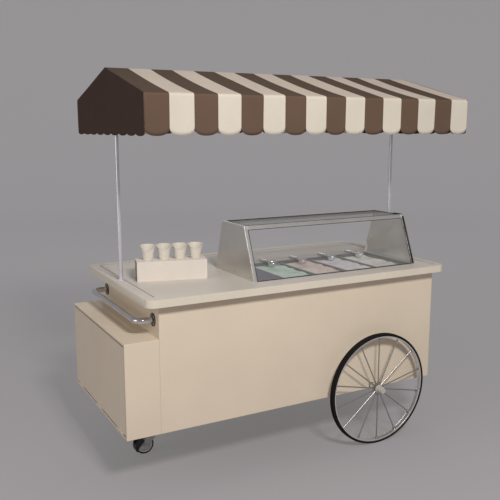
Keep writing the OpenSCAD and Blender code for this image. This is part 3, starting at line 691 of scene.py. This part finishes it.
# foot and mouth radius, height, and how far the front of the mouth is cut down
CUP_R0, CUP_R1, CUP_H, CUP_DIP = 0.026, 0.0405, 0.0815, 0.0255
CUP_PITCH = 0.0865
# the cup stand's corner on the counter, its turn in degrees, and the middle of its row of cups
STAND_X, STAND_Y, STAND_TURN = -0.818, -0.079, -14
ROW_X, ROW_Y = 0.196, 0.060


def cup_shell(t, a, out):
    """A point of the cup's wall at t of the height there and angle a, moved out by some distance."""
    foot = 0.002
    mouth = CUP_H - CUP_DIP * max(0.0, -math.sin(a)) ** 1.15
    z = foot + (mouth - foot) * t
    r = CUP_R0 + (CUP_R1 - CUP_R0) * z / CUP_H + out
    return Vector((r * math.cos(a), r * math.sin(a), z))


def cup(i):
    seg, bead, wall, floor = 72, 0.0013, 0.0012, 0.0035
    stand = Matrix.Translation((STAND_X, STAND_Y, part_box(f"cup_{i}")[0].z))
    stand = stand @ Matrix.Rotation(math.radians(STAND_TURN), 4, "Z")
    place = stand @ Matrix.Translation((ROW_X + (i - 2.5) * CUP_PITCH, ROW_Y, 0))
    angles = [2 * math.pi * k / seg for k in range(seg)]
    loops = [circle(CUP_R0 * 0.93, 0.0, seg), circle(CUP_R0, 0.0004, seg)]
    loops += [[cup_shell(t, a, 0) for a in angles] for t in (0.0, 0.03, 0.3, 0.6, 0.9, 0.97)]
    # the rolled rim
    for k in range(9):
        b = math.pi * (-0.4 + 1.5 * k / 8)
        loops.append([cup_shell(1, a, 0) + Vector((math.cos(a) * bead * math.cos(b),
                                                   math.sin(a) * bead * math.cos(b),
                                                   -bead + bead * math.sin(b))) for a in angles])
    loops += [[cup_shell(t, a, -wall) for a in angles] for t in (0.93, 0.6, 0.3, 0.05)]
    loops.append(circle(CUP_R0 * 0.9, floor, seg))
    bm = bmesh.new()
    rings = [[bm.verts.new(place @ p) for p in ring] for ring in loops]
    join_rings(bm, rings)
    for ring, z in ((rings[0], 0.0006), (rings[-1], floor)):
        mid = bm.verts.new(place @ Vector((0, 0, z)))
        for k in range(seg):
            bm.faces.new([ring[k], ring[(k + 1) % seg], mid])
    piece = from_bm(f"paper_cup_{i}", bm, f"cup_{i}", MAT["paper"], 60)
    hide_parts(f"cup_{i}")


def food_height(x, y, edge, middle, high, i):
    """Height of the spread surface at an offset from the pan's middle; edge is 0 there and 1 at the rim."""
    q = Vector((middle[0] + x, middle[1] + y, i * 1.7))
    swirl = 0.5 + 0.5 * math.sin(46 * (y + 0.03 * math.sin(21 * x + i)) + 5 * noise.noise(q * 9))
    rough = 0.5 + 0.5 * noise.noise(q * 34)
    rim = max(0.0, (edge - 0.9) / 0.1)
    return high - 0.0058 * (1 - swirl) - 0.0022 * (1 - rough) - 0.004 * rim ** 2


def frozen_food(i):
    """One pan's filling: a wavy spread top on straight sides."""
    node = f"fill_{i}"
    low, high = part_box(node)
    cx, cy = (low.x + high.x) / 2, (low.y + high.y) / 2
    gap, corner_r, pitch, steps = 0.0004, 0.018, 0.012, 34
    hx, hy = (high.x - low.x) / 2 - gap, (high.y - low.y) / 2 - gap
    corners = round_rect(-hx, -hy, hx, hy, corner_r, 0, 10)
    outline = []
    for a, b in zip(corners, corners[1:] + corners[:1]):
        n = max(1, int((b - a).length / pitch))
        outline += [a.lerp(b, k / n) for k in range(n)]
    bm = bmesh.new()
    rings = []
    for k in range(1, steps + 1):
        row = []
        for p in outline:
            x, y = p.x * k / steps, p.y * k / steps
            z = food_height(x, y, k / steps, (cx, cy), high.z, i)
            row.append(bm.verts.new(Vector((cx + x, cy + y, z))))
        rings.append(row)
    mid = bm.verts.new(Vector((cx, cy, high.z - 0.003)))
    count = len(outline)
    for j in range(count):
        bm.faces.new([mid, rings[0][j], rings[0][(j + 1) % count]])
    foot = [bm.verts.new(Vector((v.co.x, v.co.y, low.z + 0.0005))) for v in rings[-1]]
    for a, b in zip(rings, rings[1:] + [foot]):
        for j in range(count):
            bm.faces.new([a[j], b[j], b[(j + 1) % count], a[(j + 1) % count]])
    bm.faces.new(foot)
    piece = from_bm(f"frozen_food_{i}", bm, f"pan_{i}", MAT[SLOTS[node]], 60)
    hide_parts(node)


def bowl_profile(r):
    """(radius, height) points of a half-ball bowl: outside, rolled lip, inside."""
    lip_r, lip_h, wall = 0.0012, 0.0008, 0.002
    profile = []
    for k in range(15):
        a = -math.pi / 2 + math.pi / 2 * k / 14
        profile.append((r * math.cos(a), r * math.sin(a)))
    for k in range(7):
        a = math.pi * k / 6
        profile.append((r - 0.001 + lip_r * math.cos(a), lip_h * math.sin(a)))
    for k in range(14):
        a = -math.pi / 2 * k / 13
        profile.append(((r - wall) * math.cos(a), (r - wall) * math.sin(a)))
    profile[0] = (0, -r)
    profile[-1] = (0, -r + wall)
    return profile


# (radius, distance) points of the dipper's handle, with a ring at each end of the grip
DIPPER_HANDLE = [
    (0, 0), (0.0036, 0.0), (0.0036, 0.026), (0.0042, 0.028), (0.0072, 0.031), (0.0078, 0.036),
    (0.0078, 0.044), (0.0070, 0.046), (0.0070, 0.048), (0.0079, 0.050), (0.0080, 0.075),
    (0.0079, 0.100), (0.0078, 0.116), (0.0070, 0.118), (0.0070, 0.120), (0.0078, 0.122),
    (0.0072, 0.1265), (0.0048, 0.1295), (0, 0.1298)]


def dipper(i):
    """A bowl with a nearly level round handle towards the vendor."""
    node = f"scoop_{i}"
    low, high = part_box(node)
    r, tilt = 0.028, math.radians(-2)
    centre = Vector(((low.x + high.x) / 2, low.y + r, low.z + r))
    bm = bmesh.new()
    lathe(bm, bowl_profile(r), 48, Matrix.Translation(centre))
    along = Vector((0, math.cos(tilt), math.sin(tilt)))
    start = centre + Vector((0, r - 0.001, -0.003))
    lathe(bm, DIPPER_HANDLE, 28, pointing(start, along))
    piece = from_bm(f"dipper_{i}", bm, node, BRIGHT_CHROME, 50)
    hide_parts(node)


# ---------- wheels ----------

def tyre(name):
    """A solid rubber tyre with three grooves round its tread."""
    node = name + "_wheel_tyre"
    low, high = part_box(node)
    centre = (low + high) / 2
    half_w = (high.y - low.y) / 2
    r1 = (high.x - low.x) / 2
    r0 = r1 - 0.014
    side = [(r0, -half_w + 0.004), (r0 + 0.001, -half_w + 0.0015), (r0 + 0.004, -half_w),
            (r1 - 0.006, -half_w), (r1 - 0.0035, -half_w + 0.001), (r1 - 0.0014, -half_w + 0.004),
            (r1, -half_w + 0.0075)]
    section = list(side)
    groove_depth = 0.0016
    for g in (-0.008, 0.0, 0.008):
        section += [(r1, g - 0.0016), (r1 - groove_depth, g - 0.0009),
                    (r1 - groove_depth, g + 0.0009), (r1, g + 0.0016)]
    section += [(r, -z) for r, z in reversed(side)]
    bm = bmesh.new()
    place = pointing(centre, (0, 1, 0))
    rings = [[bm.verts.new(place @ p) for p in circle(r, z, 144)] for r, z in section]
    join_rings(bm, rings, closed=True)
    piece = from_bm(f"{name}_tyre", bm, f"{name}_wheel", MAT["tyre_rubber"], 50)
    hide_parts(node)


# ---------- screws and trim ----------

# (radius, height) points of a screw head with a dished middle
SCREW = [(0, 0.0006), (0.0012, 0.0006), (0.0014, 0.0016), (0.0022, 0.0015), (0.0034, 0.0009), (0.0038, 0.0)]


def screws(name, body, places, slot="chrome", scale=1.0):
    """Screw heads at (point, direction) places, as one piece."""
    bm = bmesh.new()
    for p, d in places:
        lathe(bm, [(r * scale, z * scale) for r, z in SCREW], 14, pointing(Vector(p), d))
    return from_bm(name, bm, body, MAT[slot], 50)


def counter_trim():
    """A dark line round the counter's recessed field, which paints the shadow of its step, and a wider dark
    bead at the handle end, which paints the shade in the groove there.
    """
    low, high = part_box("countertop")
    end_gap, side_gap, corner_r = 0.057, 0.038, 0.031
    path = round_rect(low.x + end_gap, low.y + side_gap, high.x - side_gap, high.y - side_gap, corner_r,
                      high.z - 0.0030, 10)
    beads("counter_step_shadow", "cart", STEP_SHADOW, loops=[(path, 0.0011)])
    x, z, inset = low.x + 0.0585, high.z - 0.0022, 0.069
    # the groove's dark bead is painted shade
    groove = [Vector((x, low.y + inset, z)), Vector((x, high.y - inset, z))]
    beads("counter_groove_shade", "cart", DARK_GASKET_AND_SHADE, [(groove, 0.0029)])


def locker_gap_shade():
    """A dark strip in the gap between the locker's door and its top plate: painted shade in the gap."""
    low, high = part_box("locker_shell")
    x, inset = low.x + 0.006, 0.0135
    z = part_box("locker_door")[1].z + 0.0027
    strip = [Vector((x, low.y + inset, z)), Vector((x, high.y - inset, z))]
    beads("locker_gap_shade", "cart", DARK_GASKET_AND_SHADE, [(strip, 0.0024)])


def guard_gaskets():
    """Dark gaskets round the top glass, along the front glass's edges and along the right end."""
    inset, bead = 0.001, 0.0022
    low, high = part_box("guard_top_glass")
    top = round_rect(low.x + inset, low.y + inset, high.x - inset, high.y - inset, 0.002, high.z + 0.0002, 4)
    low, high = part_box("guard_front_glass")
    back = high.y - 0.0065
    runs = []
    for x in (low.x + inset, high.x - inset):
        runs.append(([Vector((x, low.y + inset, low.z + inset)), Vector((x, back, high.z - inset))], bead))
    y, z = low.y + 0.003, low.z + 0.0004
    runs.append(([Vector((low.x, y, z)), Vector((high.x, y, z))], 0.0024))
    y, z = back + inset, high.z - inset
    runs.append(([Vector((low.x, y, z)), Vector((high.x, y, z))], 0.0020))
    # the right end's sloping front edge, then the front of its level top
    low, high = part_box("guard_end_right")
    x, foot_y, top_y = low.x + 0.009, -0.383, -0.267
    slope = Vector((0, top_y - foot_y, high.z - low.z)).normalized()
    foot = Vector((x, foot_y - 0.0005, low.z + 0.004))
    runs.append(([foot, foot + slope * 0.296], 0.0052))
    z = high.z + 0.0002
    runs.append(([Vector((x, -0.262, z)), Vector((x, -0.190, z))], 0.0040))
    beads("guard_gaskets", "cart", DARK_GASKET_AND_SHADE, runs, [(top, bead)])


def guard_screws():
    """Five screws on the outside of each end of the guard."""
    left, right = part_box("guard_end_left")[0].x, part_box("guard_end_right")[1].x
    places = []
    for y, z in ((-0.345, 1.035), (-0.15, 1.035), (0.06, 1.035), (-0.235, 1.288), (-0.04, 1.288)):
        places.append(((left, y, z), (-1, 0, 0)))
        places.append(((right, y, z), (1, 0, 0)))
    screws("guard_screws", "cart", places, "stainless")


def handle_screws():
    """Four screws on each of the push handle's flanges."""
    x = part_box("push_handle")[1].x - 0.005
    flange_y, flange_z, circle_r = 0.380, 0.888, 0.0248
    places = []
    for side in (-1, 1):
        for k in range(4):
            a = math.radians(45 + 90 * k)
            places.append(((x, side * flange_y + circle_r * math.cos(a), flange_z + circle_r * math.sin(a)),
                           (-1, 0, 0)))
    screws("handle_screws", "cart", places, "chrome", 0.9)


def panel_screws():
    """Screws of the rear doors' hinge leaves, and of the rear and right-hand panels."""
    leaf_y, leaf_z = 0.460, 0.0125
    fixed, doors = [], {"rear_door_left": [], "rear_door_right": []}
    for z in (0.5, 0.74):
        for pin_x, out, node in ((-0.799, -1, "rear_door_left"), (0.119, 1, "rear_door_right")):
            for d in (0.011, 0.020):
                fixed.append(((pin_x + out * d, leaf_y, z - leaf_z), (0, 1, 0)))
                doors[node].append(((pin_x - out * d, leaf_y, z + leaf_z), (0, 1, 0)))
    back, right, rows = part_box("rear_fascia")[1].y, 0.914, (0.962, 0.395)
    for x in (-0.832, -0.4, 0.0, 0.3, 0.62, 0.9):
        for z in rows:
            fixed.append(((x, back, z), (0, 1, 0)))
    for y in (-0.43, -0.15, 0.15, 0.43):
        for z in rows:
            fixed.append(((right, y, z), (1, 0, 0)))
    screws("panel_screws", "cart", fixed, "chrome", 0.8)
    for node, at in doors.items():
        screws(node + "_screws", node, at, "chrome", 0.8)


def pole_details():
    """Three screws on each pole's collar, and the sockets that hold the poles under the ridge tube."""
    collar_z, circle_r = 1.024, 0.0140
    boxes = [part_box(node) for node in ("pole_left", "pole_right")]
    places = []
    for low, high in boxes:
        cx = (low.x + high.x) / 2
        for k in range(3):
            t = math.radians(90 + 120 * k)
            places.append(((cx + circle_r * math.cos(t), circle_r * math.sin(t), collar_z), (0, 0, 1)))
    screws("collar_screws", "cart", places, "chrome", 0.45)
    bm = bmesh.new()
    for low, high in boxes:
        top = high.z
        lathe(bm, [(0.0103, top - 0.045), (0.0130, top - 0.045), (0.0134, top - 0.043),
                   (0.0134, top - 0.002), (0.0142, top - 0.001), (0.0142, top + 0.0002),
                   (0.0103, top + 0.0002)], 40, Matrix.Translation(((low.x + high.x) / 2, 0, 0)))
    from_bm("pole_sockets", bm, "cart", MAT["frame_aluminium"], 50)


def sector(bm, section, first, last, centre, steps=24):
    """Sweeps a closed (radius, y) section, given for each angle in degrees, round a Y axis."""
    rings = []
    for k in range(steps + 1):
        d = first + (last - first) * k / steps
        a = math.radians(d)
        rings.append([bm.verts.new(centre + Vector((r * math.cos(a), y, r * math.sin(a))))
                      for r, y in section(d)])
    join_rings(bm, rings)
    bm.faces.new(rings[0])
    bm.faces.new(rings[-1])


def caster_hood():
    """Black side covers and the band that joins them behind the caster wheel."""
    centre = Vector((-0.778, 0, 0.053))
    first, last = 106, 212
    # the covers' outer radius, and how far out their inner and outer faces stand
    r1, y0, y1 = 0.0590, 0.0222, 0.0250
    bm = bmesh.new()

    def inner(d):
        """The covers' inner edge, which curves outwards at both ends."""
        t = min(1.0, max(0.0, (d - 150) / 62))
        u = min(1.0, max(0.0, (118 - d) / 12))
        return 0.023 + 0.032 * t * t + 0.010 * u * u

    for side in (-1, 1):
        sector(bm, lambda d: [(inner(d), side * y0), (0.0575, side * y0), (r1, side * 0.0232),
                              (r1, side * 0.0240), (0.0578, side * y1), (inner(d), side * y1)],
               first, last, centre)
    band_r0, band_r1, band_y = 0.0562, 0.0588, 0.0238
    sector(bm, lambda d: [(band_r0, -band_y), (band_r1, -band_y), (band_r1, band_y), (band_r0, band_y)],
           165, 211.5, centre, 12)
    from_bm("caster_hood", bm, "caster_fork", MAT["black_plastic"], 40)


def brake_ribs():
    """Four grip ribs across the brake pedal, which slopes at 20 degrees."""
    low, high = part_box("caster_brake")
    runs = []
    for k in range(4):
        x = low.x + 0.008 + 0.007 * k
        z = low.z + 0.0095 + (x - low.x) * math.tan(math.radians(20)) - 0.0042
        runs.append(([Vector((x, low.y + 0.004, z)), Vector((x, high.y - 0.004, z))], 0.0011))
    beads("brake_ribs", "caster_brake", MAT["black_plastic"], runs)


def swivel_ring():
    """The bearing's bonnet between the leg and the fork."""
    axis_x = -0.738
    bm = bmesh.new()
    lathe(bm, [(0.024, 0.1281), (0.0305, 0.1281), (0.0318, 0.1268), (0.0318, 0.1228), (0.0305, 0.1216),
               (0.0296, 0.1216)], 48, Matrix.Translation((axis_x, 0, -0.0003)))
    from_bm("swivel_ring", bm, "caster_fork", MAT["black_plastic"], 50)


# ---------- put it together ----------

def rear_doors():
    """Cream doors; what stands proud of the rear wall on them is chrome hardware."""
    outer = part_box("rear_fascia")[1].y + 0.0003
    for node in ("rear_door_left", "rear_door_right"):
        soften(node, 0.0012, 2, HARDWARE, lambda c: 1 if c.y > outer else 0)


def push_handle():
    """A chrome tube whose flanges, against the cabinet, are dark."""
    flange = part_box("push_handle")[1].x - 0.0056
    soften("push_handle", 0.0006, 1, [MAT["chrome"], FLANGE_STEEL], lambda c: 1 if c.x > flange else 0)


def countertop():
    """The slab: its recessed field takes a slightly darker copy of the counter paint as painted shade, and a
    crisp step round it.
    """
    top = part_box("countertop")[1].z

    def in_field(c):
        return 1 if c.z > top - 0.0036 and abs(c.x) < 0.925 and abs(c.y) < 0.475 else 0

    def at_step(e):
        return all(abs(v.co.x) < 0.9265 and abs(v.co.y) < 0.4765 and v.co.z > top - 0.0032 for v in e.verts)

    soften("countertop", 0.0045, 3, [MAT["counter_paint"], SHADED_COUNTER_FIELD], in_field, at_step)


for node, obj in NODES.items():
    obj.data.materials.clear()
    obj.data.materials.append(SPECIAL.get(node, MAT[SLOTS[node]]))

make_camera()
make_stage()
canopy()
for number in range(1, 5):
    cup(number)
for number in range(1, 5):
    frozen_food(number)
for number in range(1, 5):
    dipper(number)
tyre("front")
tyre("rear")

HARDWARE = [MAT["cream_panel"], MAT["chrome"]]
rear_doors()
soften("locker_door", 0.0012, 2, [MAT["cream_panel"]])
# the locker's own hinge parts are cream, the rear doors' are chrome
soften("hinge_pins", 0.0003, 1, HARDWARE, lambda c: 0 if c.x < -1.0 else 1)
push_handle()
for node in ("front_panel", "rear_fascia", "left_panel", "right_panel"):
    soften(node, 0.0018)
soften("locker_shell", 0.0022, 3)
countertop()
soften("cup_stand", 0.0009)
# its dark purple-grey colour is painted shade and reflection
soften("filler_plate", 0.0005, 1, [SHADED_FILLER_STEEL])
for node in ("guard_end_left", "guard_end_right", "guard_top_frame"):
    soften(node, 0.0009, 2, [GUARD_STEEL])
for node in ("chassis_frame", "body_frame", "canopy_frame"):
    soften(node, 0.0008, 1)
for node in ("inner_shelf", "floor_panel"):
    soften(node, 0.0010, 1)
for node in ("pan_1", "pan_2", "pan_3", "pan_4", "well_liner"):
    soften(node, 0.0007, 1)
for node in ("caster_brake", "caster_leg"):
    soften(node, 0.0012, 2)

counter_trim()
locker_gap_shade()
guard_gaskets()
guard_screws()
handle_screws()
panel_screws()
pole_details()
brake_ribs()
swivel_ring()
caster_hood()
